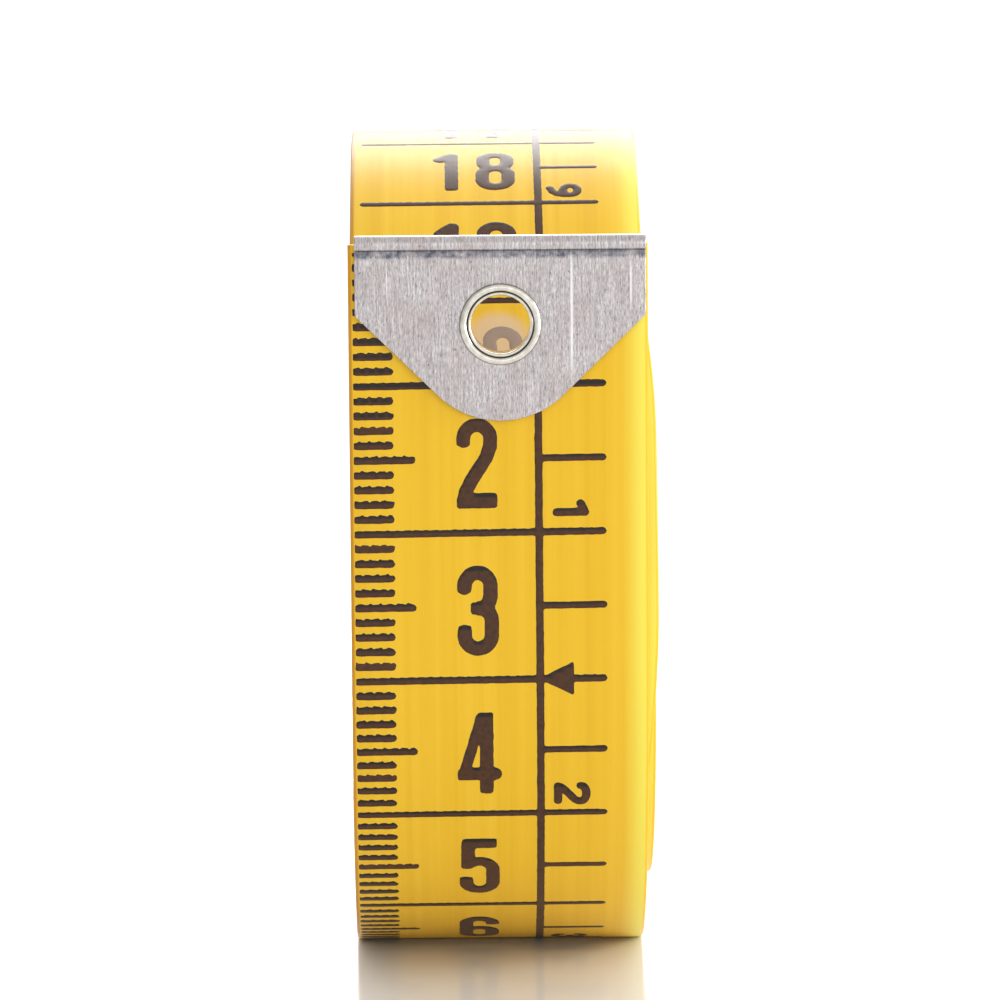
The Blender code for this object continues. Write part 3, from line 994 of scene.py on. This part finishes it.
def make_eyelet(middle_x, axes, material):
    """Turn the profile round the hole's axis, on both sides of the tape."""
    corner, along, outward = axes
    upper = eyelet_profile()
    ring = upper + [(r, -h) for r, h in reversed(upper)]
    centre = corner + along * EYELET_DROP
    steps = 96
    points = []
    ring_values = np.tile([(r / 1000.0, h / 1000.0, 0.0) for r, h in ring], (steps, 1))
    for i in range(steps):
        turn = 2.0 * math.pi * i / steps
        for radius, height in ring:
            across, down = radius / 1000.0 * math.cos(turn), radius / 1000.0 * math.sin(turn)
            y, z = centre + along * down + outward * height / 1000.0
            points.append((middle_x + across, y, z))
    around = len(ring)
    faces = []
    for i in range(steps):
        for j in range(around):
            k, n = (j + 1) % around, (i + 1) % steps
            faces.append((i * around + j, i * around + k, n * around + k, n * around + j))
    mesh = mesh_from("metal_eyelet", points, faces)
    store(mesh, "ring", ring_values)
    face_outward(mesh)
    mesh.shade_smooth()
    mesh.set_sharp_from_angle(angle=math.radians(50.0))
    thing = add_object("metal_eyelet", mesh, material)
    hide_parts("eyelet")
    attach(thing, "lead_5")


# ---------------------------------------------------------------- putting it together

def bend_across(thing):
    """Bake the piece's placing into its mesh."""
    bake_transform(thing)


def make_tape(yellow, dark):
    """The strip and its print, in pieces whose seams lie between the hinges. Gives back the
    outer print and the reverse's, for the end that make_tape_end adds."""
    outer = Print(0.0, OUTER_PRINT)
    print_scale(outer, 0.0, OUTER_PRINT * 1000.0)
    inner = Print(0.0, INNER_PRINT)
    print_scale(inner, 0.0, INNER_PRINT * 1000.0)
    far = Print(TAPE_LENGTH - LEAD_SEAMS[0], TAPE_LENGTH)
    print_scale(far, (TAPE_LENGTH - LEAD_SEAMS[0]) * 1000.0, TAPE_LENGTH * 1000.0)

    wound = strip("tape_wound", LEAD_SEAMS[0], TAIL_SEAMS[0], yellow)
    marks = [ink_piece("print_wound", outer, LEAD_SEAMS[0], OUTER_PRINT, 1, dark),
             ink_piece("print_hollow", inner, TAPE_LENGTH - TAIL_SEAMS[0], INNER_PRINT, -1, dark)]
    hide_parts("tape_coil")
    for thing in [wound] + marks:
        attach(thing, "coil")

    for i, hinge in enumerate(LEAD_HINGES):
        begin, end = LEAD_SEAMS[i + 1], LEAD_SEAMS[i]
        pieces = [strip(f"tape_bend_{i + 1}", begin, end, yellow, 0.0004),
                  ink_piece(f"print_bend_{i + 1}", outer, begin, end, 1, dark),
                  ink_piece(f"print_back_{i + 1}", far, TAPE_LENGTH - end, TAPE_LENGTH - begin,
                            -1, dark)]
        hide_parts(f"tape_lead_{i + 1}")
        for thing in filter(None, pieces):
            bend_across(thing)

    for i, hinge in enumerate(TAIL_HINGES):
        begin = TAIL_SEAMS[i]
        end = TAIL_SEAMS[i + 1] if i < 2 else TAPE_LENGTH - FOLD_DEPTH
        pieces = [strip(f"tail_bend_{i + 1}", begin, end, yellow, 0.0004),
                  ink_piece(f"print_tail_{i + 1}", inner, TAPE_LENGTH - end,
                            TAPE_LENGTH - begin, -1, dark)]
        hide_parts(f"tape_tail_{i + 1}")
        for thing in filter(None, pieces):
            bend_across(thing)
    return outer, far


def make_tape_end(outer, far, middle_x, axes, yellow, dark):
    """The last of the outer end, under the metal tip, with the eyelet's hole in it."""
    end = strip("tape_end", FOLD_DEPTH, LEAD_SEAMS[-1], yellow, 0.0006)
    punch = hole_prism(middle_x, axes)
    pieces = [end, ink_piece("print_end", outer, 0.001, LEAD_SEAMS[-1], 1, dark),
              ink_piece("print_end_back", far, TAPE_LENGTH - LEAD_SEAMS[-1],
                        TAPE_LENGTH - 0.001, -1, dark)]
    for thing in filter(None, pieces):
        cut(thing, punch, "DIFFERENCE")
        apply_modifiers(thing)
        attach(thing, "lead_5")
    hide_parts("tape_lead_5")
    bpy.data.objects.remove(punch, do_unlink=True)


def make_stage():
    """A glossy pale floor, a bright surround and soft lights."""
    mesh = bpy.data.meshes.new("studio_floor")
    bm = bmesh.new()
    bmesh.ops.create_grid(bm, x_segments=1, y_segments=1, size=4.0)
    bm.to_mesh(mesh)
    bm.free()
    n = Nodes("floor_white", 0.16)
    n.shader.inputs["Base Color"].default_value = (0.84, 0.84, 0.84, 1.0)
    floor = add_object("studio_floor", mesh, n.material)

    make_surround()
    add_light("back_window", (0.05, 0.80, 0.42), (0.90, 0.60), 6.0)
    add_light("right_window", (0.78, -0.05, 0.28), (0.35, 0.30), 3.0)
    add_light("right_low", (0.78, -0.50, 0.05), (0.50, 0.09), 1.2)
    add_light("front_soft", (0.10, -0.80, 0.30), (0.90, 0.50), 0.6)


def make_surround():
    """Plain white to look at, but what it sheds on the tape is brighter from the right."""
    world = bpy.data.worlds.new("studio")
    bpy.context.scene.world = world
    world.use_nodes = True
    tree = world.node_tree

    def new(kind, **values):
        node = tree.nodes.new(kind)
        for key, value in values.items():
            node.inputs[key.replace("_", " ")].default_value = value
        return node

    parts = new("ShaderNodeSeparateXYZ")
    side = new("ShaderNodeMapRange", From_Min=-1.0, To_Min=0.60, To_Max=1.08)
    front = new("ShaderNodeMapRange", From_Min=-1.0, From_Max=0.3, To_Min=0.95)
    both = new("ShaderNodeMath")
    both.operation = "MULTIPLY"
    choose = new("ShaderNodeMix", B=1.0)
    background = tree.nodes["Background"]
    background.inputs[0].default_value = (1.0, 1.0, 1.0, 1.0)
    for source, target in (
            (new("ShaderNodeTexCoord").outputs["Generated"], parts.inputs[0]),
            (parts.outputs[0], side.inputs["Value"]),
            (parts.outputs[1], front.inputs["Value"]),
            (side.outputs[0], both.inputs[0]),
            (front.outputs[0], both.inputs[1]),
            (new("ShaderNodeLightPath").outputs["Is Camera Ray"], choose.inputs[0]),
            (both.outputs[0], choose.inputs[2]),
            (choose.outputs[0], background.inputs[1])):
        tree.links.new(source, target)


def add_light(name, place, size, power):
    """A soft rectangle of light that faces the middle of the coil."""
    data = bpy.data.lights.new(name, "AREA")
    data.shape = "RECTANGLE"
    data.size, data.size_y = size
    data.energy = power
    light = bpy.data.objects.new(name, data)
    light.location = place
    aim = Vector((0.0, 0.0, 0.027)) - Vector(place)
    light.rotation_euler = aim.to_track_quat("-Z", "Y").to_euler()
    bpy.context.scene.collection.objects.link(light)


def make_camera():
    """The photograph's view: a long lens, in front of the coil and a little above it."""
    data = bpy.data.cameras.new("camera")
    data.lens = CAMERA_LENS
    data.sensor_width = 36.0
    data.clip_start = 0.01
    data.clip_end = 20.0
    camera = bpy.data.objects.new("camera", data)
    level = math.cos(CAMERA_ELEVATION)
    back = Vector((math.sin(CAMERA_YAW) * level, -math.cos(CAMERA_YAW) * level,
                   math.sin(CAMERA_ELEVATION)))
    aim = (-back).to_track_quat("-Z", "Y").to_matrix()
    up = aim @ Vector((0.0, 1.0, 0.0))
    centre = Vector((0.0, -route.origin[0], -route.origin[1]))
    beside = up.cross(back) * CAMERA_BESIDE
    camera.location = centre + back * CAMERA_DISTANCE + up * CAMERA_ABOVE + beside
    camera.rotation_euler = (aim @ Matrix.Rotation(-CAMERA_ROLL, 3, "Z")).to_euler()
    bpy.context.scene.collection.objects.link(camera)
    bpy.context.scene.camera = camera


def main():
    make_camera()
    make_stage()
    bpy.context.scene.view_settings.view_transform = "Standard"
    yellow, dark = tape_material(), ink_material()
    tin = brushed_material("brushed_tin", (0.60, 0.565, 0.565))
    middle_x, axes = make_tip(tin)
    make_clip(tin)
    make_eyelet(middle_x, axes, eyelet_material())
    outer, far = make_tape(yellow, dark)
    make_tape_end(outer, far, middle_x, axes, yellow, dark)


main()
